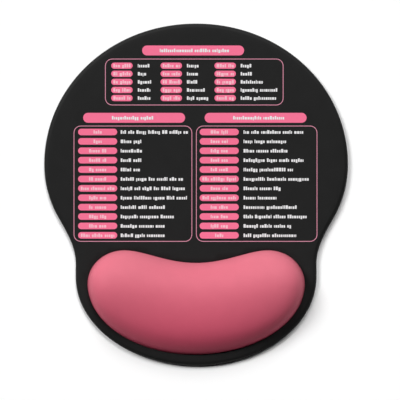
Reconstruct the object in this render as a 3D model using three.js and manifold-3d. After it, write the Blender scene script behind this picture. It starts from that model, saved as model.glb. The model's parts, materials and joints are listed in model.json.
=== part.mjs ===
// A mouse mat with a raised gel cushion for the wrist. It is a stack of sheets: grip base, bond film, foam,
// bond film and knitted cover. A gel pillow stands in a pocket of the foam, under a stretched cover of its own.
//
// Millimetres, +Z up, +Y away from the user. The origin is the middle of the footprint, on the desk.

import * as THREE from "three";
import { mergeVertices } from "three/addons/utils/BufferGeometryUtils.js";
import Module from "manifold-3d";

const wasm = await Module();
wasm.setup();

// ---- Driving dimensions ----

// Mat, in plan
const MAT_WIDTH = 222;
const MAT_DEPTH = 250;
const WIDEST_Y = 22; // level of the widest place
const CROWN_FULLNESS = 0.56; // a little rounder than an ellipse, which is 0.552
const FLANK_RADIUS_Y = 92; // ellipse that the side follows below the widest place
const NECK_Y = -18; // the side turns hollow here
const NECK_LEAD = 13; // length of the neck's curve handle at its top
const WAIST_LEAD = 10; // and at its foot
const WAIST_HALF_WIDTH = 88;
const WAIST_TOP_Y = -50;
const WAIST_FOOT_Y = -60; // the hip is a half ellipse below this

// Cushion, in plan
const CUSHION_HALF_WIDTH = 79;
const CUSHION_Y = -65; // level of its widest place
const CUSHION_FOOT_Y = -116.5; // its edge nearest the user
const LOBE_X = 52.5; // middle of each lobe
const LOBE_TOP_Y = -40.8;
const VALLEY_Y = -50; // far edge between the lobes
const LOBE_LEAD = 14.5; // curve handle from a lobe towards the valley
const VALLEY_LEAD = 22; // and from the valley towards a lobe

// Cushion, in height
const CUSHION_RISE = 20; // lobe above the mat's face
const SADDLE_DIP = 1.5; // how much lower the cushion is between its lobes
const CREST_END_X = 47;
const CREST_END_Y = -71;
const CREST_MIDDLE_Y = -83;
const CREST_REACH = 80; // degrees of the rounded section that are modelled before the flat crest

// Sheets, from the desk up
const BASE_THICKNESS = 1.6;
const BOND_THICKNESS = 0.2;
const FOAM_THICKNESS = 2.2;
const CLOTH_THICKNESS = 0.8;
const BACKING_THICKNESS = 0.3; // flat film under the gel
const SKIN_THICKNESS = 0.4; // formed film over the gel

// Joints between pieces
const GAP = 0.3; // free space round a piece that is cut to fit another
const EDGE_ROUND = 3.2; // radius of the mat's rolled edge
const HEM_LIFT = 0.4; // cover's hem above the desk
const CLOTH_FLANGE = 4; // wrist cover's width under the mat's cover
const WELD_FLANGE = 3; // width of the pillow's welded rim
const OVERCUT = 1; // how far a cutting shape runs past what it cuts

// Fineness
const MAT_POINTS = 96;
const CUSHION_POINTS = 64;
const EDGE_STEPS = 3;
const DOME_STEPS = 6;
const CREST_SAMPLES = 160;

// ---- Levels that follow ----

const BASE_TOP = BASE_THICKNESS;
const FOAM_FOOT = BASE_TOP + BOND_THICKNESS;
const FOAM_TOP = FOAM_FOOT + FOAM_THICKNESS;
const COVER_FOOT = FOAM_TOP + BOND_THICKNESS;
const MAT_TOP = COVER_FOOT + CLOTH_THICKNESS;
const BACKING_TOP = FOAM_FOOT + BACKING_THICKNESS;
const WELD_TOP = BACKING_TOP + SKIN_THICKNESS;
const FLANGE_FOOT = FOAM_TOP - CLOTH_THICKNESS;

// How far each piece's wall stands inside the outline of the mat or of the cushion
const LAYER_INSET = CLOTH_THICKNESS + GAP;
const SKIN_INSET = CLOTH_THICKNESS + GAP;
const GEL_INSET = SKIN_INSET + SKIN_THICKNESS + GAP;

// ---- Outlines ----

// Closes a right half, which runs from the near middle to the far middle, with its mirror image.
function wholeOutline(half, count) {
  const right = half.getSpacedPoints(count / 2);
  const left = right.slice(1, -1).reverse().map((point) => new THREE.Vector2(-point.x, point.y));
  return [...right, ...left];
}

function matOutline() {
  const halfWidth = MAT_WIDTH / 2;
  const farY = MAT_DEPTH / 2;
  const hipRadiusY = MAT_DEPTH / 2 + WAIST_FOOT_Y;
  const neckAngle = Math.asin((NECK_Y - WIDEST_Y) / FLANK_RADIUS_Y);
  const neckX = halfWidth * Math.cos(neckAngle);
  const neckY = WIDEST_Y + FLANK_RADIUS_Y * Math.sin(neckAngle);
  const neckSlope = (halfWidth / FLANK_RADIUS_Y) * Math.tan(-neckAngle);
  const half = new THREE.Path();
  half.absellipse(0, WAIST_FOOT_Y, WAIST_HALF_WIDTH, hipRadiusY, -Math.PI / 2, 0);
  half.lineTo(WAIST_HALF_WIDTH, WAIST_TOP_Y);
  half.bezierCurveTo(
    WAIST_HALF_WIDTH, WAIST_TOP_Y + WAIST_LEAD,
    neckX - neckSlope * NECK_LEAD, neckY - NECK_LEAD,
    neckX, neckY,
  );
  half.absellipse(0, WIDEST_Y, halfWidth, FLANK_RADIUS_Y, neckAngle, 0);
  half.bezierCurveTo(
    halfWidth, WIDEST_Y + (farY - WIDEST_Y) * CROWN_FULLNESS,
    halfWidth * CROWN_FULLNESS, farY,
    0, farY,
  );
  return wholeOutline(half, MAT_POINTS);
}

function cushionOutline() {
  const half = new THREE.Path();
  half.absellipse(0, CUSHION_Y, CUSHION_HALF_WIDTH, CUSHION_Y - CUSHION_FOOT_Y, -Math.PI / 2, 0);
  half.absellipse(LOBE_X, CUSHION_Y, CUSHION_HALF_WIDTH - LOBE_X, LOBE_TOP_Y - CUSHION_Y, 0, Math.PI / 2);
  half.bezierCurveTo(LOBE_X - LOBE_LEAD, LOBE_TOP_Y, VALLEY_LEAD, VALLEY_Y, 0, VALLEY_Y);
  return wholeOutline(half, CUSHION_POINTS);
}

// Moves every point of a counter-clockwise outline inwards, square to the outline.
function insetOutline(outline, distance) {
  const count = outline.length;
  return outline.map((point, i) => {
    const before = outline[(i + count - 1) % count];
    const after = outline[(i + 1) % count];
    const along = new THREE.Vector2().subVectors(after, before).normalize();
    return new THREE.Vector2(point.x - along.y * distance, point.y + along.x * distance);
  });
}

const MAT = matOutline();
const CUSHION = cushionOutline();

// ---- Solids ----

function ringAt(outline, inset, z) {
  return insetOutline(outline, inset).map((point) => new THREE.Vector3(point.x, point.y, z));
}

// Skins a stack of rings, lowest first, and closes it at both ends.
function loft(rings) {
  const count = rings[0].length;
  const topStart = (rings.length - 1) * count;
  const faces = [];
  for (let start = 0; start < topStart; start += count) {
    for (let i = 0; i < count; i++) {
      const here = start + i;
      const next = start + ((i + 1) % count);
      faces.push(here, next, next + count, here, next + count, here + count);
    }
  }
  for (const [a, b, c] of THREE.ShapeUtils.triangulateShape(rings[0], [])) {
    faces.push(c, b, a);
  }
  for (const [a, b, c] of THREE.ShapeUtils.triangulateShape(rings.at(-1), [])) {
    faces.push(topStart + a, topStart + b, topStart + c);
  }
  const geometry = new THREE.BufferGeometry();
  geometry.setFromPoints(rings.flat());
  geometry.setIndex(faces);
  return geometry;
}

function plate(outline, inset, foot, top) {
  return loft([ringAt(outline, inset, foot), ringAt(outline, inset, top)]);
}

// A plate whose upper edge is rounded.
function roundedPlate(outline, inset, foot, top, radius) {
  const rings = [ringAt(outline, inset, foot)];
  for (let step = 0; step <= EDGE_STEPS; step++) {
    const angle = (step / EDGE_STEPS) * (Math.PI / 2);
    const turnIn = radius * (1 - Math.cos(angle));
    const drop = radius * (1 - Math.sin(angle));
    rings.push(ringAt(outline, inset + turnIn, top - drop));
  }
  return loft(rings);
}

// Line along the top of the cushion, from lobe to lobe.
function crestPoint(x) {
  const bend = (CREST_END_Y - CREST_MIDDLE_Y) * (x / CREST_END_X) ** 2;
  return new THREE.Vector2(x, CREST_MIDDLE_Y + bend);
}

function crestRise(x) {
  const nearMiddle = (1 + Math.cos((Math.PI * x) / CREST_END_X)) / 2;
  return CUSHION_RISE - SADDLE_DIP * nearMiddle;
}

function nearestOnCrest(point) {
  let nearest = crestPoint(-CREST_END_X);
  for (let i = 1; i <= CREST_SAMPLES; i++) {
    const candidate = crestPoint(CREST_END_X * ((2 * i) / CREST_SAMPLES - 1));
    if (candidate.distanceTo(point) < nearest.distanceTo(point)) {
      nearest = candidate;
    }
  }
  return nearest;
}

// The cushion's domed shape, moved inwards by an inset: an upright wall up to the mat's face, then an arc of an
// ellipse from each point of the outline up to the crest.
function dome(inset, foot) {
  const reach = THREE.MathUtils.degToRad(CREST_REACH);
  const feet = CUSHION.map(nearestOnCrest);
  const edge = insetOutline(CUSHION, inset);
  const rings = [ringAt(CUSHION, inset, foot), ringAt(CUSHION, inset, MAT_TOP)];
  for (let step = 1; step <= DOME_STEPS; step++) {
    const angle = (reach * step) / DOME_STEPS;
    const inward = 1 - Math.cos(angle);
    const ring = edge.map((point, i) => {
      const place = point.clone().lerp(feet[i], inward);
      const rise = ((crestRise(feet[i].x) - inset) * Math.sin(angle)) / Math.sin(reach);
      return new THREE.Vector3(place.x, place.y, MAT_TOP + rise);
    });
    rings.push(ring);
  }
  return loft(rings);
}

function toManifold(geometry) {
  const merged = mergeVertices(geometry);
  const mesh = new wasm.Mesh({
    numProp: 3,
    vertProperties: new Float32Array(merged.attributes.position.array),
    triVerts: new Uint32Array(merged.index.array),
  });
  return new wasm.Manifold(mesh);
}

function toGeometry(manifold) {
  const mesh = manifold.getMesh();
  const geometry = new THREE.BufferGeometry();
  geometry.setAttribute("position", new THREE.BufferAttribute(mesh.vertProperties, mesh.numProp));
  geometry.setIndex(new THREE.BufferAttribute(mesh.triVerts, 1));
  return geometry;
}

// Joins the first list of geometries and cuts the second list out of the result.
function shape(joined, cut) {
  const whole = joined.map(toManifold).reduce((sum, next) => sum.add(next));
  return toGeometry(cut.map(toManifold).reduce((rest, next) => rest.subtract(next), whole));
}

// ---- Materials ----

function material(color, roughness) {
  return new THREE.MeshStandardMaterial({ color, roughness, metalness: 0 });
}

const GRIP = material(0x1b1b1d, 0.75);
const BOND = material(0xe8e2d0, 0.5);
const FOAM = material(0x2a2a2c, 0.95);
const BLACK_JERSEY = material(0x141516, 0.9);
const PINK_JERSEY = material(0xd9506e, 0.85);
const GEL = material(0xbfd8e6, 0.2);
const GEL_FILM = material(0xe6e6e6, 0.35);

// ---- Pieces, from the desk up ----

function nonSlipBase() {
  return plate(MAT, LAYER_INSET, 0, BASE_TOP);
}

function baseBondFilm() {
  return plate(MAT, LAYER_INSET, BASE_TOP, FOAM_FOOT);
}

// Pocket right through for the pillow, and a rebate in each face for the two flanges round it.
function foamCore() {
  const sheet = roundedPlate(MAT, LAYER_INSET, FOAM_FOOT, FOAM_TOP, EDGE_ROUND - LAYER_INSET);
  const pocket = plate(CUSHION, CLOTH_THICKNESS, FOAM_FOOT - OVERCUT, FOAM_TOP + OVERCUT);
  const clothRebate = plate(CUSHION, -CLOTH_FLANGE - GAP, FLANGE_FOOT, FOAM_TOP + OVERCUT);
  const weldRebate = plate(CUSHION, -WELD_FLANGE - GAP, FOAM_FOOT - OVERCUT, WELD_TOP);
  return shape([sheet], [pocket, clothRebate, weldRebate]);
}

function gelFilmLower() {
  return plate(CUSHION, -WELD_FLANGE, FOAM_FOOT, BACKING_TOP);
}

function gelCore() {
  return dome(GEL_INSET, BACKING_TOP);
}

function gelFilmUpper() {
  const skin = dome(SKIN_INSET, BACKING_TOP);
  const flange = plate(CUSHION, -WELD_FLANGE, BACKING_TOP, WELD_TOP);
  const inside = dome(SKIN_INSET + SKIN_THICKNESS, BACKING_TOP - OVERCUT);
  return shape([skin, flange], [inside]);
}

function wristCoverCloth() {
  const skin = dome(0, FLANGE_FOOT);
  const flange = plate(CUSHION, -CLOTH_FLANGE, FLANGE_FOOT, FOAM_TOP);
  const inside = dome(CLOTH_THICKNESS, FLANGE_FOOT - OVERCUT);
  return shape([skin, flange], [inside]);
}

function coverBondFilm() {
  const sheet = plate(MAT, EDGE_ROUND + GAP, FOAM_TOP, COVER_FOOT);
  const hole = plate(CUSHION, -GAP, FOAM_TOP - OVERCUT, COVER_FOOT + OVERCUT);
  return shape([sheet], [hole]);
}

// The sheet runs over the rounded edge and down the side to a hem just off the desk.
function matCoverCloth() {
  const outside = roundedPlate(MAT, 0, HEM_LIFT, MAT_TOP, EDGE_ROUND);
  const inside = roundedPlate(MAT, CLOTH_THICKNESS, HEM_LIFT - OVERCUT, COVER_FOOT, EDGE_ROUND - CLOTH_THICKNESS);
  const hole = plate(CUSHION, -GAP, COVER_FOOT - OVERCUT, MAT_TOP + OVERCUT);
  return shape([outside], [inside, hole]);
}

const pieces = [
  ["non_slip_base", nonSlipBase(), GRIP],
  ["base_bond_film", baseBondFilm(), BOND],
  ["foam_core", foamCore(), FOAM],
  ["gel_film_lower", gelFilmLower(), GEL_FILM],
  ["gel_core", gelCore(), GEL],
  ["gel_film_upper", gelFilmUpper(), GEL_FILM],
  ["wrist_cover_cloth", wristCoverCloth(), PINK_JERSEY],
  ["cover_bond_film", coverBondFilm(), BOND],
  ["mat_cover_cloth", matCoverCloth(), BLACK_JERSEY],
];

const object = new THREE.Group();
for (const [name, geometry, look] of pieces) {
  geometry.computeVertexNormals();
  const mesh = new THREE.Mesh(geometry, look);
  mesh.name = name;
  object.add(mesh);
}

export default object;
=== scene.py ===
"""Mouse mat with a raised gel cushion for the wrist: the visual model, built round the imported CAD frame.

Metres, +Z up, +Y away from the user. Levels and outlines are read from the CAD nodes.
"""

import json
import math
import random

import bpy
import numpy as np
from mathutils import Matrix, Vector
from mathutils.geometry import delaunay_2d_cdt

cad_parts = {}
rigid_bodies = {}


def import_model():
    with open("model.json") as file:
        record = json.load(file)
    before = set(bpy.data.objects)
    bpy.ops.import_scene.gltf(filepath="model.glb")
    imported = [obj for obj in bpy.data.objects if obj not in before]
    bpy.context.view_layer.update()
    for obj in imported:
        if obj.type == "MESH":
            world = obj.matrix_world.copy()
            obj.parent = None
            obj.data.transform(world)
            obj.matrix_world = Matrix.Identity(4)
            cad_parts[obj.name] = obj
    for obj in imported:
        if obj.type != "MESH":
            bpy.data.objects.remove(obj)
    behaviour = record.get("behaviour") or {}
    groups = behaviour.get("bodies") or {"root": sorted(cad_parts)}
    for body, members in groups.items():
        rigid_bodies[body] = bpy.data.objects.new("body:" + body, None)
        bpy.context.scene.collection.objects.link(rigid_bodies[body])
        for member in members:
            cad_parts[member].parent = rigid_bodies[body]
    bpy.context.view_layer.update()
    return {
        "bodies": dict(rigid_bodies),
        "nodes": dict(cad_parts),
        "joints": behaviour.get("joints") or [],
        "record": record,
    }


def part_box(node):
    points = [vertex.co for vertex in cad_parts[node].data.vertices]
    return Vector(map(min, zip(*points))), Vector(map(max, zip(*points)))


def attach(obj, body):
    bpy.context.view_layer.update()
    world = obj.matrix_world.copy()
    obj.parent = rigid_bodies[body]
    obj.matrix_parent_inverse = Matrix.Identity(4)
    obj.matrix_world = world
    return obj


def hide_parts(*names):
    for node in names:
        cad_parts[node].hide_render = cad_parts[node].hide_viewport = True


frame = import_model()

MM = 0.001

# ---- Levels and widths that the CAD nodes give ----


def top_of(node):
    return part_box(node)[1].z


mat_low, mat_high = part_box("mat_cover_cloth")
base_low, base_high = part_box("non_slip_base")
backing_low, backing_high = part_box("gel_film_lower")
wrist_low, wrist_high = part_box("wrist_cover_cloth")

MAT_WIDTH = mat_high.x - mat_low.x
MAT_DEPTH = mat_high.y - mat_low.y
MAT_TOP = mat_high.z
HEM = mat_low.z
COVER_FOOT = top_of("cover_bond_film")
CLOTH = MAT_TOP - COVER_FOOT
FLANGE_FOOT = wrist_low.z
CREST = wrist_high.z
BACKING_TOP = backing_high.z
BASE_TOP = base_high.z
LAYER_INSET = (MAT_WIDTH - (base_high.x - base_low.x)) / 2
GAP = LAYER_INSET - CLOTH

# Widths that no node's box shows, as the CAD has them
WELD_FLANGE = 3 * MM
CLOTH_FLANGE = WELD_FLANGE + (backing_low.x - wrist_low.x)
EDGE_ROUND = 3.2 * MM
SKIN = 0.4 * MM
GEL_INSET = CREST - top_of("gel_core")
SKIN_INSET = CREST - top_of("gel_film_upper")
WELD_TOP = BACKING_TOP + SKIN

# ---- Outlines ----

MAT_POINTS = 512
CUSHION_POINTS = 512
SPLINE_STEPS = 16
MICROMETRES = 6  # decimals of a metre


def edge_corners(node):
    """Corners of a flat CAD sheet's edge, counter-clockwise from its near middle."""
    low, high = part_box(node)
    middle = (low + high) / 2
    vertices = frame["nodes"][node].data.vertices
    corners = {(round(v.co.x, MICROMETRES), round(v.co.y, MICROMETRES)) for v in vertices}
    turn = 2 * math.pi
    return np.array(sorted(corners, key=lambda c: math.atan2(c[0] - middle.x, middle.y - c[1]) % turn))


def even(curve, count):
    """The closed curve through many points, as count points at even distances."""
    closed = np.vstack([curve, curve[:1]])
    along = np.concatenate([[0], np.cumsum(np.linalg.norm(np.diff(closed, axis=0), axis=1))])
    places = np.linspace(0, along[-1], count, endpoint=False)
    return np.stack([np.interp(places, along, closed[:, k]) for k in (0, 1)], axis=1)


def smooth_loop(corners, count):
    """A smooth closed curve through the corners: cubics whose slopes come from each corner's neighbours."""
    after = np.roll(corners, -1, axis=0)
    reach = np.linalg.norm(after - corners, axis=1)[:, None]
    heading = (after - corners) / reach
    reach_before = np.roll(reach, 1, axis=0)
    heading_before = np.roll(heading, 1, axis=0)
    slope = (heading_before * reach + heading * reach_before) / (reach + reach_before)
    slope_after = np.roll(slope, -1, axis=0)
    pieces = []
    for t in np.linspace(0, 1, SPLINE_STEPS, endpoint=False):
        pieces.append(
            (2 * t**3 - 3 * t**2 + 1) * corners
            + (t**3 - 2 * t**2 + t) * reach * slope
            + (3 * t**2 - 2 * t**3) * after
            + (t**3 - t**2) * reach * slope_after
        )
    return even(np.stack(pieces, axis=1).reshape(-1, 2), count)


def moved_in(loop, distance):
    """The counter-clockwise loop moved inwards, square to itself."""
    along = np.roll(loop, -1, axis=0) - np.roll(loop, 1, axis=0)
    along /= np.linalg.norm(along, axis=1)[:, None]
    return loop + distance * np.stack([-along[:, 1], along[:, 0]], axis=1)


def loop_area(loop):
    x, y = loop[:, 0], loop[:, 1]
    return abs(np.sum(x * np.roll(y, -1) - y * np.roll(x, -1))) / 2


MAT = moved_in(smooth_loop(edge_corners("non_slip_base"), MAT_POINTS), -LAYER_INSET)
CUSHION = moved_in(smooth_loop(edge_corners("gel_film_lower"), CUSHION_POINTS), WELD_FLANGE)

# ---- Mesh making ----

FILL_PITCH = 4 * MM
SEAM_ANGLE = math.radians(60)
HEM_ANGLE = math.radians(50)
TINY = 1e-9


def inside(loop, points):
    """Which of the points lie in the closed loop, by counting crossings."""
    start, end = loop, np.roll(loop, -1, axis=0)
    x, y = points[:, 0][:, None], points[:, 1][:, None]
    spans = (start[:, 1] > y) != (end[:, 1] > y)
    rise = np.where(end[:, 1] == start[:, 1], 1, end[:, 1] - start[:, 1])
    crossing = start[:, 0] + (y - start[:, 1]) * (end[:, 0] - start[:, 0]) / rise
    return (spans & (x < crossing)).sum(axis=1) % 2 == 1


class Piece:
    """Gathers the points and faces of one piece. Each point also has its place on the unrolled cloth."""

    def __init__(self):
        self.points = []
        self.weave = []
        self.faces = []

    def ring(self, loop, z, unrolled=None):
        first = len(self.points)
        self.points += [(x, y, z) for x, y in loop]
        self.weave += [(x, y, 0) for x, y in (loop if unrolled is None else unrolled)]
        return list(range(first, len(self.points)))

    def strip(self, lower, upper):
        """Faces between two rings of a wall. They face out where upper is above lower."""
        for i in range(len(lower)):
            j = (i + 1) % len(lower)
            self.faces.append((lower[i], lower[j], upper[j], upper[i]))

    def strips(self, rings):
        for lower, upper in zip(rings, rings[1:]):
            self.strip(lower, upper)

    def sheet(self, edge, hole, z, up):
        """Fills the flat region inside edge and outside hole with even triangles."""
        rim = np.array([self.points[i][:2] for i in edge])
        gap = np.array([self.points[i][:2] for i in hole]) if hole else np.zeros((0, 2))
        low, high = rim.min(axis=0), rim.max(axis=0)
        columns = np.arange(low[0], high[0], FILL_PITCH)
        rows = np.arange(low[1], high[1], FILL_PITCH)
        inner = np.array([(x, y) for y in rows for x in columns])
        kept = inside(moved_in(rim, FILL_PITCH / 2), inner)
        if hole:
            kept &= ~inside(moved_in(gap, -FILL_PITCH / 2), inner)
        inner = inner[kept]
        known = list(edge) + list(hole or [])
        first = len(self.points)
        self.points += [(x, y, z) for x, y in inner]
        self.weave += [(x, y, 0) for x, y in inner]
        known += list(range(first, len(self.points)))
        flat = [Vector(p) for p in np.vstack([rim, gap, inner])]
        bounds = [(i, (i + 1) % len(edge)) for i in range(len(edge))]
        if hole:
            start, count = len(edge), len(hole)
            bounds += [(start + i, start + (i + 1) % count) for i in range(count)]
        made = delaunay_2d_cdt(flat, bounds, [], 1, TINY)
        corners, triangles, origins = made[0], made[2], made[3]
        middles = np.array([sum((corners[i] for i in t), Vector((0, 0))) / 3 for t in triangles])
        dropped = inside(gap, middles) if hole else np.zeros(len(triangles), bool)
        for triangle, drop in zip(triangles, dropped):
            if not drop:
                face = [known[origins[i][0]] for i in triangle]
                self.faces.append(tuple(face if up else reversed(face)))

    def build(self, name, smooth=True):
        mesh = bpy.data.meshes.new(name)
        mesh.from_pydata(self.points, [], self.faces)
        weave = mesh.attributes.new("weave", "FLOAT_VECTOR", "POINT")
        weave.data.foreach_set("vector", np.array(self.weave, np.float32).ravel())
        mesh.update()
        if smooth:
            mesh.shade_smooth()
        piece = bpy.data.objects.new(name, mesh)
        bpy.context.scene.collection.objects.link(piece)
        return piece


def applied(piece):
    """Turns the piece's modifiers into plain mesh."""
    graph = bpy.context.evaluated_depsgraph_get()
    mesh = bpy.data.meshes.new_from_object(piece.evaluated_get(graph))
    piece.modifiers.clear()
    piece.data = mesh
    return piece


def sharpen(piece, angle):
    """Smooth shading that stops at edges sharper than the angle."""
    mesh = piece.data
    mesh.shade_smooth()
    mesh.set_sharp_from_angle(angle=angle)


# ---- Cushion: an inflated skin pinned round its edge ----

CUSHION_COLUMNS = 56
CUSHION_ROWS = 26
PATCH_CORNER = math.radians(45)
ARCH_POWER = 2.1  # how flat the section from near to far is on top
ARCH_FULLNESS = 0.72  # how steeply that section leaves the mat: 0.5 is an ellipse, 1 a parabola
SHOULDER_POWER = 8  # how late the cushion starts to fall towards its two ends
SHOULDER_FULLNESS = 0.55
TROUGH_DIP = 2 * MM  # a long shallow hollow, fitted to the photo's shading and not seen in it
TROUGH_Y = -87 * MM
TROUGH_WIDTH = 20 * MM
START_SHARE = 0.93  # height of the slack skin, as a share of the inflated one
PRESSURE = 4
SIM_FRAMES = 20
SIM_QUALITY = 8
MOST_SWELL = 5 * MM


def loop_at(loop, share):
    """Points at shares of the way round the loop."""
    place = np.mod(share, 1) * len(loop)
    low = np.floor(place).astype(int)
    part = (place - low)[:, None]
    return loop[low % len(loop)] * (1 - part) + loop[(low + 1) % len(loop)] * part


def eased(count):
    """Shares from 0 to 1 that lie closer together at both ends."""
    even_share = np.linspace(0, 1, count + 1)
    return (even_share + (1 - np.cos(math.pi * even_share)) / 2) / 2


def cushion_plan(loop):
    """A four-sided grid over the cushion's outline, with the corners at its four rounded quarters."""
    along = np.roll(CUSHION, -1, axis=0) - np.roll(CUSHION, 1, axis=0)
    facing = np.unwrap(np.arctan2(along[:, 1], along[:, 0])) - math.pi / 2
    near_right = np.argmax(facing > -PATCH_CORNER) / len(CUSHION)
    far_right = np.argmax(facing > PATCH_CORNER) / len(CUSHION)
    u, v = eased(CUSHION_COLUMNS), eased(CUSHION_ROWS)
    near = loop_at(loop, -near_right + 2 * near_right * u)
    far = loop_at(loop, 1 - far_right + (2 * far_right - 1) * u)
    right = loop_at(loop, near_right + (far_right - near_right) * v)
    left = loop_at(loop, 1 - near_right + (near_right - far_right) * v)
    u, v = u[None, :, None], v[:, None, None]
    between = (1 - v) * near[None] + v * far[None] + (1 - u) * left[:, None] + u * right[:, None]
    corners = (
        (1 - u) * (1 - v) * near[0] + u * (1 - v) * near[-1] + (1 - u) * v * far[0] + u * v * far[-1]
    )
    return between - corners


def cushion_rise():
    """The slack cushion's height at each grid point, up to the full rise."""
    u, v = eased(CUSHION_COLUMNS)[None, :], eased(CUSHION_ROWS)[:, None]
    arch = np.clip(1 - np.abs(2 * v - 1) ** ARCH_POWER, 0, 1) ** ARCH_FULLNESS
    shoulders = np.clip(1 - np.abs(2 * u - 1) ** SHOULDER_POWER, 0, 1) ** SHOULDER_FULLNESS
    rise = arch * shoulders * (CREST - MAT_TOP)
    off = (cushion_plan(CUSHION)[..., 1] - TROUGH_Y) / TROUGH_WIDTH
    rise -= TROUGH_DIP * np.exp(-(off**2)) * np.sqrt(arch * shoulders)
    return rise * (CREST - MAT_TOP) / rise.max()


def unrolled(grid):
    """Each grid point's place on the flat cloth: its distance along the cloth from the middle, both ways."""
    along_rows = np.linalg.norm(np.diff(grid, axis=1), axis=2)
    along_columns = np.linalg.norm(np.diff(grid, axis=0), axis=2)
    x = np.concatenate([np.zeros((grid.shape[0], 1)), np.cumsum(along_rows, axis=1)], axis=1)
    y = np.concatenate([np.zeros((1, grid.shape[1])), np.cumsum(along_columns, axis=0)], axis=0)
    x -= x[:, grid.shape[1] // 2][:, None]
    y -= y[grid.shape[0] // 2][None]
    return np.stack([x, y, np.zeros_like(x)], axis=2)


def inflate(grid):
    """Runs cloth under pressure over the grid, pinned at its rim, and returns the grid's new points."""
    rows, columns = grid.shape[:2]
    cloth = Piece()
    cloth.points = [tuple(p) for p in grid.reshape(-1, 3)]
    cloth.weave = cloth.points
    for r in range(rows - 1):
        for c in range(columns - 1):
            first = r * columns + c
            cloth.faces.append((first, first + 1, first + columns + 1, first + columns))
    piece = cloth.build("cushion_cloth")
    rim = piece.vertex_groups.new(name="rim")
    pinned = [
        r * columns + c
        for r in range(rows)
        for c in range(columns)
        if r in (0, rows - 1) or c in (0, columns - 1)
    ]
    rim.add(pinned, 1.0, "REPLACE")
    settings = piece.modifiers.new("Cloth", "CLOTH").settings
    settings.vertex_group_mass = "rim"
    settings.use_pressure = True
    settings.uniform_pressure_force = PRESSURE
    settings.effector_weights.gravity = 0
    settings.quality = SIM_QUALITY
    scene = bpy.context.scene
    for step in range(1, SIM_FRAMES + 1):
        scene.frame_set(step)
    applied(piece)
    moved = np.array([v.co for v in piece.data.vertices])
    bpy.data.objects.remove(piece)
    scene.frame_set(1)
    return moved.reshape(grid.shape)


def cushion_grid():
    """The cushion's skin above the mat's face, as a grid of points."""
    rise = cushion_rise()
    grid = np.concatenate([cushion_plan(CUSHION), (MAT_TOP + rise * START_SHARE)[..., None]], axis=2)
    swell = inflate(grid) - grid
    size = np.linalg.norm(swell, axis=2, keepdims=True)
    grid = grid + swell * np.minimum(1, MOST_SWELL / np.maximum(size, TINY))
    grid[..., 2] = MAT_TOP + (grid[..., 2] - MAT_TOP) * (CREST - MAT_TOP) / (grid[..., 2].max() - MAT_TOP)
    return grid


def rim_order(rows, columns):
    """Indexes of a grid's rim, counter-clockwise from the near left corner."""
    near = [(0, c) for c in range(columns - 1)]
    right = [(r, columns - 1) for r in range(rows - 1)]
    far = [(rows - 1, c) for c in range(columns - 1, 0, -1)]
    left = [(r, 0) for r in range(rows - 1, 0, -1)]
    return near + right + far + left


def add_grid(piece, grid, cloth, up=True):
    """Adds the grid's faces and returns its rim as a ring."""
    rows, columns = grid.shape[:2]
    first = len(piece.points)
    piece.points += [tuple(p) for p in grid.reshape(-1, 3)]
    piece.weave += [tuple(p) for p in cloth.reshape(-1, 3)]
    for r in range(rows - 1):
        for c in range(columns - 1):
            start = first + r * columns + c
            face = (start, start + 1, start + columns + 1, start + columns)
            piece.faces.append(face if up else face[::-1])
    return [first + r * columns + c for r, c in rim_order(rows, columns)]


cushion = cushion_grid()
cushion_weave = unrolled(cushion)


def cushion_inside(distance):
    """The cushion's skin drawn inwards by a distance, with its rim still at the mat's face."""
    moved = cushion.copy()
    moved[..., :2] += cushion_plan(moved_in(CUSHION, distance)) - cushion_plan(CUSHION)
    moved[..., 2] = MAT_TOP + (cushion[..., 2] - MAT_TOP) * (1 - distance / (CREST - MAT_TOP))
    return moved


def rim_loop(grid):
    rows, columns = grid.shape[:2]
    return np.array([grid[r, c, :2] for r, c in rim_order(rows, columns)])


def subdivided(piece, levels):
    piece.modifiers.new("Subdivision", "SUBSURF").levels = levels
    return applied(piece)


# ---- Materials ----

WALE = 0.8 * MM
COURSE = 0.6 * MM
MOTTLE = 90  # noise cells in a metre: broad changes of shade
FIBRE = 2600  # and single fibres
KNIT_SHARE = 0.45  # of the change in shade that follows the stitches
FUZZ = 0.4  # height of the fibres, as a share of the stitches' height
ROUGHNESS_SPREAD = 0.12
CLOTH_BUMP = 0.6
MOULDED_BUMP = 0.4
CLOTH_RELIEF = 0.05 * MM
INK_RELIEF = 0.03 * MM


def tree_of(name):
    material = bpy.data.materials.new(name)
    material.use_nodes = True
    nodes, links = material.node_tree.nodes, material.node_tree.links
    return material, nodes, links, nodes["Principled BSDF"]


def math_node(nodes, links, operation, *inputs):
    node = nodes.new("ShaderNodeMath")
    node.operation = operation
    for socket, value in zip(node.inputs, inputs):
        if isinstance(value, (int, float)):
            socket.default_value = value
        else:
            links.new(value, socket)
    return node.outputs[0]


def noise(nodes, links, place, scale, detail=3):
    node = nodes.new("ShaderNodeTexNoise")
    node.inputs["Scale"].default_value = scale
    node.inputs["Detail"].default_value = detail
    links.new(place, node.inputs["Vector"])
    return node.outputs["Fac"]


def ramp(nodes, links, value, low, high):
    """A colour between low and high, by a value from 0 to 1."""
    node = nodes.new("ShaderNodeMix")
    node.data_type = "RGBA"
    node.inputs["A"].default_value = (*low, 1)
    node.inputs["B"].default_value = (*high, 1)
    links.new(value, node.inputs["Factor"])
    return node.outputs["Result"]


def tinted(nodes, links, colour, tint):
    node = nodes.new("ShaderNodeVectorMath")
    node.operation = "MULTIPLY"
    links.new(colour, node.inputs[0])
    links.new(tint, node.inputs[1])
    return node.outputs["Vector"]


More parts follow.
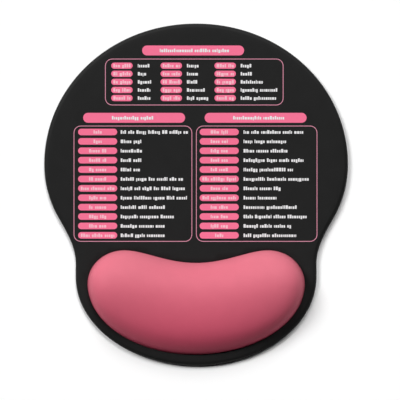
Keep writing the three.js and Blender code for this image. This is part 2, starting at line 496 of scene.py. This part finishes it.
def across_cushion(nodes, links):
    """0 at the cushion's near side and 1 at its far side."""
    split = nodes.new("ShaderNodeSeparateXYZ")
    links.new(nodes.new("ShaderNodeTexCoord").outputs["Object"], split.inputs[0])
    share = nodes.new("ShaderNodeMapRange")
    share.inputs["From Min"].default_value = CUSHION[:, 1].min()
    share.inputs["From Max"].default_value = CUSHION[:, 1].max()
    links.new(split.outputs["Y"], share.inputs["Value"])
    return share.outputs["Result"]


def stitches(nodes, links, place):
    """Height of a plain knit: columns of leaning stitches, from 0 to 1."""
    split = nodes.new("ShaderNodeSeparateXYZ")
    links.new(place, split.inputs[0])
    across = math_node(nodes, links, "DIVIDE", split.outputs["X"], WALE)
    side = math_node(nodes, links, "PINGPONG", across, 0.5)
    column = math_node(nodes, links, "SINE", math_node(nodes, links, "MULTIPLY", side, 2 * math.pi))
    course = math_node(nodes, links, "DIVIDE", split.outputs["Y"], COURSE)
    lean = math_node(nodes, links, "ADD", course, side)
    turn = math_node(nodes, links, "SINE", math_node(nodes, links, "MULTIPLY", lean, 2 * math.pi))
    quarter = math_node(nodes, links, "MULTIPLY_ADD", turn, 0.25, 0.25)
    return math_node(nodes, links, "MULTIPLY_ADD", column, 0.5, quarter)


def roughened(nodes, links, shader, roughness, spots):
    """Roughness that changes a little with the spots."""
    least = roughness - ROUGHNESS_SPREAD / 2
    rough = math_node(nodes, links, "MULTIPLY_ADD", spots, ROUGHNESS_SPREAD, least)
    links.new(rough, shader.inputs["Roughness"])


def embossed(nodes, links, shader, height, relief, strength):
    bump = nodes.new("ShaderNodeBump")
    bump.inputs["Strength"].default_value = strength
    bump.inputs["Distance"].default_value = relief
    links.new(height, bump.inputs["Height"])
    links.new(bump.outputs["Normal"], shader.inputs["Normal"])


def jersey(name, dark, light, roughness, gloss, relief, painted_light_tints=None):
    """Knitted stretch cloth: colour that varies a little, fine stitches and fibres.

    Tints, if there are any, paint light into the colour: painted shade, a deeper pink, on the cushion's near
    side, and a painted highlight, a paler pink, on its far side.
    """
    material, nodes, links, shader = tree_of(name)
    cloth = nodes.new("ShaderNodeAttribute")
    cloth.attribute_name = "weave"
    place = cloth.outputs["Vector"]
    knit = stitches(nodes, links, place)
    mottle = noise(nodes, links, place, MOTTLE)
    fibre = noise(nodes, links, place, FIBRE, 2)
    broad = math_node(nodes, links, "MULTIPLY", mottle, 1 - KNIT_SHARE)
    mixed = math_node(nodes, links, "MULTIPLY_ADD", knit, KNIT_SHARE, broad)
    colour = ramp(nodes, links, mixed, dark, light)
    # Painted light: the colour is deepened on the shaded near side and paled on the lit far side
    if painted_light_tints:
        colour = tinted(nodes, links, colour, ramp(nodes, links, across_cushion(nodes, links), *painted_light_tints))
    links.new(colour, shader.inputs["Base Color"])
    roughened(nodes, links, shader, roughness, fibre)
    height = math_node(nodes, links, "MULTIPLY_ADD", fibre, FUZZ, knit)
    embossed(nodes, links, shader, height, relief, CLOTH_BUMP)
    shader.inputs["Specular IOR Level"].default_value = gloss
    return material


def moulded(name, dark, light, roughness, grain, relief):
    """Moulded or cast sheet: a faint grain in its colour, gloss and height, by noise cells in a metre."""
    material, nodes, links, shader = tree_of(name)
    place = nodes.new("ShaderNodeTexCoord").outputs["Object"]
    spots = noise(nodes, links, place, grain)
    links.new(ramp(nodes, links, spots, dark, light), shader.inputs["Base Color"])
    roughened(nodes, links, shader, roughness, spots)
    embossed(nodes, links, shader, spots, relief, MOULDED_BUMP)
    return material


def dress(piece, material):
    piece.data.materials.clear()
    piece.data.materials.append(material)


# Tints of the pink knit, fitted to the photo's change of hue from near to far. They are painted light:
# painted shade, a deeper pink, on the near side, and a painted highlight, a paler pink, on the far side,
# which faces the lights
NEAR_SHADE_TINT = (1, 0.64, 0.8)
FAR_HIGHLIGHT_TINT = (1, 1.36, 1.2)

black_jersey = jersey(
    "black_jersey",
    dark=(0.006, 0.006, 0.006),
    light=(0.012, 0.012, 0.012),
    roughness=0.6,
    gloss=0.15,
    relief=CLOTH_RELIEF,
)
pink_jersey = jersey(
    "pink_jersey",
    dark=(0.53, 0.101, 0.150),
    light=(0.62, 0.119, 0.177),
    roughness=0.5,
    gloss=0.08,
    relief=CLOTH_RELIEF,
    # painted shade on the near side, painted highlight on the far side
    painted_light_tints=(NEAR_SHADE_TINT, FAR_HIGHLIGHT_TINT),
)


def ink(name, dark, light):
    """A print so thin that the stitches under it still show."""
    return jersey(name, dark, light, roughness=0.8, gloss=0.2, relief=INK_RELIEF)


pink_ink = ink("pink_ink", (0.80, 0.145, 0.26), (0.88, 0.165, 0.295))
white_ink = ink("white_ink", (0.66, 0.65, 0.66), (0.78, 0.77, 0.78))
# Thinner prints, which let the colour under them through
thin_pink_ink = ink("thin_pink_ink", (0.62, 0.25, 0.34), (0.70, 0.28, 0.38))
thin_white_ink = ink("thin_white_ink", (0.80, 0.42, 0.50), (0.88, 0.48, 0.56))

grip_rubber = moulded(
    "grip_rubber",
    dark=(0.010, 0.010, 0.011),
    light=(0.020, 0.020, 0.021),
    roughness=0.65,
    grain=1500,
    relief=0.05 * MM,
)
foam_sponge = moulded(
    "foam_sponge",
    dark=(0.018, 0.018, 0.020),
    light=(0.035, 0.035, 0.038),
    roughness=0.95,
    grain=3000,
    relief=0.1 * MM,
)
bond_film = moulded(
    "bond_film",
    dark=(0.74, 0.70, 0.58),
    light=(0.86, 0.82, 0.70),
    roughness=0.5,
    grain=400,
    relief=0.02 * MM,
)
gel_film = moulded(
    "gel_film",
    dark=(0.76, 0.76, 0.76),
    light=(0.86, 0.86, 0.86),
    roughness=0.35,
    grain=300,
    relief=0.02 * MM,
)
gel = moulded(
    "gel",
    dark=(0.48, 0.66, 0.76),
    light=(0.58, 0.74, 0.82),
    roughness=0.2,
    grain=60,
    relief=0.05 * MM,
)

# ---- Wrist cover ----


def wrist_cover():
    piece = Piece()
    rim = add_grid(piece, cushion, cushion_weave)
    loop = rim_loop(cushion)
    foot = piece.ring(loop, FLANGE_FOOT + CLOTH)
    edge = piece.ring(moved_in(loop, -CLOTH_FLANGE), FLANGE_FOOT + CLOTH)
    piece.strip(foot, rim)
    piece.strip(edge, foot)
    cover = piece.build("wrist_cushion_cover")
    subdivided(cover, 2)
    solid = cover.modifiers.new("Thickness", "SOLIDIFY")
    solid.thickness = CLOTH
    solid.offset = -1
    solid.use_even_offset = True
    applied(cover)
    sharpen(cover, SEAM_ANGLE)
    dress(cover, pink_jersey)
    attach(cover, "root")
    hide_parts("wrist_cover_cloth")
    return cover


wrist_cover()

# ---- Mat cover ----

LIP_ROUND = 0.3 * MM
LIP_TURN = 0.3 * LIP_ROUND  # how far the lip's middle lies from its two faces
ROUND_STEPS = 8


def rounded_edge(piece, loop, inset, foot, top, radius):
    """Rings of a wall with a rounded shoulder, from the foot up, on the mat's outline."""
    rings = [piece.ring(moved_in(loop, inset), foot, moved_in(loop, -(top - foot)))]
    for step in range(ROUND_STEPS + 1):
        angle = step / ROUND_STEPS * math.pi / 2
        turn_in = radius * (1 - math.cos(angle))
        drop = radius * (1 - math.sin(angle))
        rolled = radius * (math.pi / 2 - angle)
        rings.append(
            piece.ring(
                moved_in(loop, inset + turn_in),
                top - drop,
                moved_in(loop, inset + radius - rolled),
            )
        )
    return rings


def mat_cover():
    piece = Piece()
    outside = rounded_edge(piece, MAT, 0, HEM, MAT_TOP, EDGE_ROUND)
    within = rounded_edge(piece, MAT, CLOTH, HEM, COVER_FOOT, EDGE_ROUND - CLOTH)
    hole = CUSHION
    lip = [
        piece.ring(moved_in(hole, -GAP), COVER_FOOT),
        piece.ring(moved_in(hole, -GAP), MAT_TOP - LIP_ROUND),
        piece.ring(moved_in(hole, -GAP - LIP_TURN), MAT_TOP - LIP_TURN),
        piece.ring(moved_in(hole, -GAP - LIP_ROUND), MAT_TOP),
    ]
    piece.strips(outside)
    piece.strips(within[::-1])
    piece.strip(within[0], outside[0])
    piece.strips(lip[::-1])
    piece.sheet(outside[-1], lip[-1], MAT_TOP, up=True)
    piece.sheet(within[-1], lip[0], COVER_FOOT, up=False)
    cover = piece.build("mat_cover")
    sharpen(cover, HEM_ANGLE)
    dress(cover, black_jersey)
    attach(cover, "root")
    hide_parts("mat_cover_cloth")
    edge = EDGE_ROUND * (math.pi / 2 - 2) + MAT_TOP - HEM  # cloth past the outline, once unrolled
    area = loop_area(moved_in(MAT, -edge)) - loop_area(moved_in(CUSHION, -GAP))
    return cover


mat_cover()

# ---- Gel pillow and its skin, under the wrist cover ----


def gel_pillow():
    piece = Piece()
    dome = cushion_inside(GEL_INSET)
    rim = add_grid(piece, dome, cushion_weave)
    foot = piece.ring(rim_loop(dome), BACKING_TOP)
    piece.strip(foot, rim)
    piece.sheet(foot, None, BACKING_TOP, up=False)
    pillow = piece.build("gel_pillow")
    sharpen(pillow, SEAM_ANGLE)
    dress(pillow, gel)
    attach(pillow, "root")
    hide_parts("gel_core")


def pillow_skin():
    piece = Piece()
    outer = cushion_inside(SKIN_INSET)
    inner = cushion_inside(SKIN_INSET + SKIN)
    outer_rim = add_grid(piece, outer, cushion_weave)
    inner_rim = add_grid(piece, inner, cushion_weave, up=False)
    flange = rim_loop(cushion_plan(moved_in(CUSHION, -WELD_FLANGE)))
    rings = [
        inner_rim,
        piece.ring(rim_loop(inner), BACKING_TOP),
        piece.ring(flange, BACKING_TOP),
        piece.ring(flange, WELD_TOP),
        piece.ring(rim_loop(outer), WELD_TOP),
        outer_rim,
    ]
    piece.strips(rings)
    skin = piece.build("pillow_skin")
    sharpen(skin, SEAM_ANGLE)
    dress(skin, gel_film)
    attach(skin, "root")
    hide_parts("gel_film_upper")


gel_pillow()
pillow_skin()

# ---- Grip base: a sheet with small raised pads under it ----

STUD_RISE = 0.3 * MM
STUD_SINK = 0.05 * MM
STUD_RADIUS = 1.2 * MM
STUD_TAPER = 0.25 * MM
STUD_SIDES = 6
STUD_PITCH = 3.6 * MM
STUD_MARGIN = 3 * MM


def stud_middles():
    """Places of the pads, in staggered rows over the mat's outline."""
    row_pitch = STUD_PITCH * math.sqrt(3) / 2
    low, high = MAT.min(axis=0), MAT.max(axis=0)
    rows = np.arange(low[1], high[1], row_pitch)
    columns = np.arange(low[0], high[0], STUD_PITCH)
    places = np.array([(x + (i % 2) * STUD_PITCH / 2, y) for i, y in enumerate(rows) for x in columns])
    return places[inside(moved_in(MAT, LAYER_INSET + STUD_MARGIN), places)]


def grip_base():
    piece = Piece()
    outline = moved_in(MAT, LAYER_INSET)
    rings = [
        piece.ring(moved_in(outline, STUD_RISE), STUD_RISE),
        piece.ring(outline, 2 * STUD_RISE),
        piece.ring(outline, BASE_TOP),
    ]
    piece.strips(rings)
    piece.sheet(rings[0], None, STUD_RISE, up=False)
    piece.sheet(rings[-1], None, BASE_TOP, up=True)
    turns = np.arange(STUD_SIDES) * 2 * math.pi / STUD_SIDES
    around = np.stack([np.sin(turns), -np.cos(turns)], axis=1)
    for middle in stud_middles():
        sole = piece.ring(middle + around * (STUD_RADIUS - STUD_TAPER), 0)
        root = piece.ring(middle + around * STUD_RADIUS, STUD_RISE + STUD_SINK)
        piece.strip(sole, root)
        piece.faces += [tuple(sole[::-1]), tuple(root)]
    base = piece.build("grip_base", smooth=False)
    dress(base, grip_rubber)
    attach(base, "root")
    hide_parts("non_slip_base")


grip_base()

# ---- Printed chart: films of ink on the mat's face ----

INK_LIFT = 0.01 * MM
INK = 0.05 * MM
INK_FOOT = MAT_TOP + INK_LIFT
INK_TOP = INK_FOOT + INK
MARK_TOP = INK_TOP + INK_LIFT + INK
CORNER_STEPS = 6
FRAME_LINE = 0.48 * MM
FRAME_CORNER = 5.2 * MM
TITLE_WIDTH = 74.3 * MM
TITLE_HEIGHT = 7.2 * MM
MOST_ROUND = 0.49  # corner radius of a round-ended bar, as a share of its height

# Plain blocks that stand for lettering
CAP_HEIGHT = 2.55 * MM
LOW_HEIGHT = 1.85 * MM
TAIL = 0.6 * MM
BLOCK_WIDTHS = (0.7, 1.0, 1.0, 1.3)  # shares of the usual width
BLOCK_PITCH = 1.5 * MM
BLOCK_GAP = 0.4 * MM
BLOCK_CORNER = 0.25 * MM
WORD_GAP = 0.75  # share of a block's width
TALL_CHANCE = 0.25
TAIL_CHANCE = 0.1
LEGEND_LENGTHS = (6 * MM, 12.5 * MM, 24.5 * MM)  # for one key, two keys and three keys

chance = random.Random(7)


def rounded(x, y, width, height, radius):
    """A round-cornered rectangle about a middle point, counter-clockwise."""
    radius = min(radius, MOST_ROUND * height, MOST_ROUND * width)
    turns = np.linspace(0, math.pi / 2, CORNER_STEPS + 1)
    corners = []
    for quarter, (right, up) in enumerate(((1, 1), (-1, 1), (-1, -1), (1, -1))):
        middle = (x + right * (width / 2 - radius), y + up * (height / 2 - radius))
        angles = turns + quarter * math.pi / 2
        corners.append(np.array(middle) + radius * np.stack([np.cos(angles), np.sin(angles)], axis=1))
    return np.concatenate(corners)


def film(piece, loop, foot, top):
    """A closed plate with the outline."""
    lower, upper = piece.ring(loop, foot), piece.ring(loop, top)
    piece.strip(lower, upper)
    piece.faces += [tuple(upper), tuple(lower[::-1])]


def outline_film(piece, outer, inner):
    """A closed band of ink between two outlines."""
    rings = [
        piece.ring(outer, INK_FOOT),
        piece.ring(outer, INK_TOP),
        piece.ring(inner, INK_TOP),
        piece.ring(inner, INK_FOOT),
    ]
    piece.strips(rings + rings[:1])


def word_sizes(blocks, words):
    """Shares a number of blocks between words by chance, two or more each."""
    sizes = [2] * words
    for _ in range(blocks - 2 * words):
        sizes[chance.randrange(words)] += 1
    return sizes


def wording(piece, left, y, length, words, foot, top):
    """A line of plain blocks of different heights, in place of words."""
    blocks = max(2 * words, round(length / BLOCK_PITCH) - (words - 1))
    spans = []
    for number, size in enumerate(word_sizes(blocks, words)):
        if number:
            spans.append((WORD_GAP, 0, 0))
        for place in range(size):
            kind = chance.random()
            tall = (place == 0 and number == 0) or kind < TALL_CHANCE
            tail = TAIL if not tall and kind > 1 - TAIL_CHANCE else 0
            spans.append((chance.choice(BLOCK_WIDTHS), CAP_HEIGHT if tall else LOW_HEIGHT, tail))
    unit = (length + BLOCK_GAP) / sum(span[0] for span in spans)
    base = y - CAP_HEIGHT / 2
    for share, height, tail in spans:
        width = share * unit - BLOCK_GAP
        if height:
            middle = (left + width / 2, base + (height - tail) / 2)
            film(piece, rounded(*middle, width, height + tail, BLOCK_CORNER), foot, top)
        left += share * unit


def legend(piece, x, y, pressed):
    """Plain blocks across a key, one group for each key that is pressed."""
    length = LEGEND_LENGTHS[pressed - 1]
    wording(piece, x - length / 2, y, length, pressed, INK_TOP + INK_LIFT, MARK_TOP)


def printed(piece, name, ink):
    made = piece.build(name, smooth=False)
    dress(made, ink)
    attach(made, "root")


class Table:
    """One framed table of the chart: a title bar, a frame, and columns of keys with their meanings."""

    def __init__(self, title, wording_left, wording_right, words, frame, columns):
        self.title = title
        self.heading = (wording_left, wording_right, words)
        self.frame = frame
        self.columns = columns


class Column:
    """A column of keys. Each row is the wording's length, its words, and how many keys are pressed."""

    def __init__(self, key_left, label_left, first_y, pitch, key_size, rows):
        self.key_left = key_left
        self.label_left = label_left
        self.first_y = first_y
        self.pitch = pitch
        self.key_size = key_size
        self.rows = rows


SMALL_KEY = (15.6, 4.5)
LONG_KEY = (28.5, 4.75)
SMALL_ROWS = (94.0, 5.9)
LONG_ROWS = (45.65, 6.85)

CHART = (
    Table(
        (-2.2, 105.1), -26.5, 24.0, 3, (-66.4, 65.1, 63.7, 99.1),
        (
            Column(-61.9, -42.5, *SMALL_ROWS, SMALL_KEY, (
                (8.4, 1, 2), (6.0, 1, 2), (9.7, 1, 2), (9.1, 1, 2), (9.1, 1, 2),
            )),
            Column(-25.9, -6.7, *SMALL_ROWS, SMALL_KEY, (
                (8.5, 1, 2), (8.0, 1, 2), (7.5, 1, 2), (13.0, 1, 2), (15.5, 2, 2),
            )),
            Column(13.4, 32.5, *SMALL_ROWS, SMALL_KEY, (
                (7.7, 1, 2), (8.1, 1, 2), (16.1, 1, 2), (26.7, 2, 2), (25.8, 2, 2),
            )),
        ),
    ),
    Table(
        (-45.2, 56.0), -61.4, -31.3, 2, (-89.3, -34.35, -2.85, 50.25),
        (
            Column(-86.05, -55.0, *LONG_ROWS, LONG_KEY, (
                (49.0, 7, 1), (15.0, 2, 1), (15.5, 1, 2), (15.0, 2, 2), (14.0, 2, 2), (45.4, 6, 2),
                (46.7, 6, 3), (48.3, 5, 2), (32.2, 3, 2), (38.7, 3, 2), (32.0, 3, 2), (32.0, 3, 3),
            )),
        ),
    ),
    Table(
        (43.4, 56.0), 27.0, 64.2, 2, (-0.07, -34.35, 88.4, 50.25),
        (
            Column(2.6, 34.6, *LONG_ROWS, LONG_KEY, (
                (43.5, 5, 2), (31.0, 3, 2), (32.0, 3, 2), (43.7, 4, 2), (36.0, 3, 2), (47.5, 3, 3),
                (27.0, 3, 2), (24.0, 2, 3), (38.7, 2, 2), (46.0, 4, 2), (34.6, 4, 2), (38.4, 3, 1),
            )),
        ),
    ),
)


def chart():
    bars, lines, keys = Piece(), Piece(), Piece()
    headings, labels, legends = Piece(), Piece(), Piece()
    for table in CHART:
        x, y = np.array(table.title) * MM
        film(bars, rounded(x, y, TITLE_WIDTH, TITLE_HEIGHT, TITLE_HEIGHT / 2), INK_FOOT, INK_TOP)
        left, right, words = table.heading
        wording(headings, left * MM, y, (right - left) * MM, words, INK_TOP + INK_LIFT, MARK_TOP)
        low, high = np.array(table.frame[:2]) * MM, np.array(table.frame[2:]) * MM
        middle, size = (low + high) / 2, high - low
        outer = rounded(*middle, *size, FRAME_CORNER)
        inner = rounded(*middle, *(size - 2 * FRAME_LINE), FRAME_CORNER - FRAME_LINE)
        outline_film(lines, outer, inner)
        for column in table.columns:
            width, height = np.array(column.key_size) * MM
            for row, (length, words, pressed) in enumerate(column.rows):
                y = (column.first_y - row * column.pitch) * MM
                middle_x = column.key_left * MM + width / 2
                film(keys, rounded(middle_x, y, width, height, height / 2), INK_FOOT, INK_TOP)
                wording(labels, column.label_left * MM, y, length * MM, words, INK_FOOT, INK_TOP)
                legend(legends, middle_x, y, pressed)
    printed(bars, "printed_title_bars", pink_ink)
    printed(lines, "printed_frames", thin_pink_ink)
    printed(keys, "printed_keys", pink_ink)
    printed(labels, "printed_labels", white_ink)
    printed(headings, "printed_headings", white_ink)
    printed(legends, "printed_key_marks", thin_white_ink)


chart()

# ---- CAD nodes that stay, with their finish ----

for node, finish in (
    ("base_bond_film", bond_film),
    ("cover_bond_film", bond_film),
    ("gel_film_lower", gel_film),
    ("foam_core", foam_sponge),
):
    dress(frame["nodes"][node], finish)

# ---- Floor, lights and camera ----

PICTURE_SHARE = 1.1668  # picture's side, as a share of the mat's depth
AIM_X = 0.0128 * MAT_WIDTH
AIM_Y = -0.0158 * MAT_DEPTH
CAMERA_HEIGHT = 1.5
SENSOR = 36

FLOOR_SIZE = 6
FLOOR_CLEARANCE = 0.02 * MM
FLOOR_WHITE = (0.95, 0.95, 0.95)
FLOOR_ROUGHNESS = 0.9
WALL_TOP = math.radians(8)
LIGHT_SPREAD = math.radians(21)


def floor():
    mesh = bpy.data.meshes.new("floor")
    half = FLOOR_SIZE / 2
    square = ((-half, -half), (half, -half), (half, half), (-half, half))
    mesh.from_pydata([(x, y, -FLOOR_CLEARANCE) for x, y in square], [], [(0, 1, 2, 3)])
    ground = bpy.data.objects.new("floor", mesh)
    bpy.context.scene.collection.objects.link(ground)
    material, nodes, links, shader = tree_of("floor_white")
    shader.inputs["Base Color"].default_value = (*FLOOR_WHITE, 1)
    shader.inputs["Roughness"].default_value = FLOOR_ROUGHNESS
    dress(ground, material)


def soft_light(name, azimuth, elevation, strength):
    """A far, broad light. Azimuth 0 is at +Y, and it turns towards +X."""
    light = bpy.data.lights.new(name, "SUN")
    light.angle = LIGHT_SPREAD
    light.energy = strength
    lamp = bpy.data.objects.new(name, light)
    bpy.context.scene.collection.objects.link(lamp)
    a, e = math.radians(azimuth), math.radians(elevation)
    back = Vector((math.sin(a) * math.cos(e), math.cos(a) * math.cos(e), math.sin(e)))
    lamp.rotation_mode = "QUATERNION"
    lamp.rotation_quaternion = back.to_track_quat("Z", "Y")


def world(walls, ceiling):
    """Pale walls all round, which fade into the ceiling at WALL_TOP."""
    sky = bpy.data.worlds.new("studio")
    sky.use_nodes = True
    nodes, links = sky.node_tree.nodes, sky.node_tree.links
    background = nodes["Background"]
    background.inputs["Color"].default_value = (1, 1, 1, 1)
    direction = nodes.new("ShaderNodeTexCoord")
    parts = nodes.new("ShaderNodeSeparateXYZ")
    fade = nodes.new("ShaderNodeMapRange")
    fade.interpolation_type = "SMOOTHSTEP"
    fade.inputs["From Max"].default_value = math.sin(WALL_TOP)
    fade.inputs["To Min"].default_value = walls
    fade.inputs["To Max"].default_value = ceiling
    links.new(direction.outputs["Generated"], parts.inputs["Vector"])
    links.new(parts.outputs["Z"], fade.inputs["Value"])
    links.new(fade.outputs["Result"], background.inputs["Strength"])
    bpy.context.scene.world = sky


def camera():
    lens = bpy.data.cameras.new("camera")
    lens.sensor_width = SENSOR
    lens.lens = SENSOR * (CAMERA_HEIGHT - MAT_TOP) / (PICTURE_SHARE * MAT_DEPTH)
    eye = bpy.data.objects.new("camera", lens)
    eye.location = (AIM_X, AIM_Y, CAMERA_HEIGHT)
    bpy.context.scene.collection.objects.link(eye)
    bpy.context.scene.camera = eye


floor()
world(walls=0.45, ceiling=0)
soft_light("left_key", azimuth=-56, elevation=42, strength=2.3)
soft_light("far_key", azimuth=0, elevation=38, strength=1.55)
soft_light("right_key", azimuth=27, elevation=54, strength=1.05)
camera()
bpy.context.scene.view_settings.view_transform = "Standard"
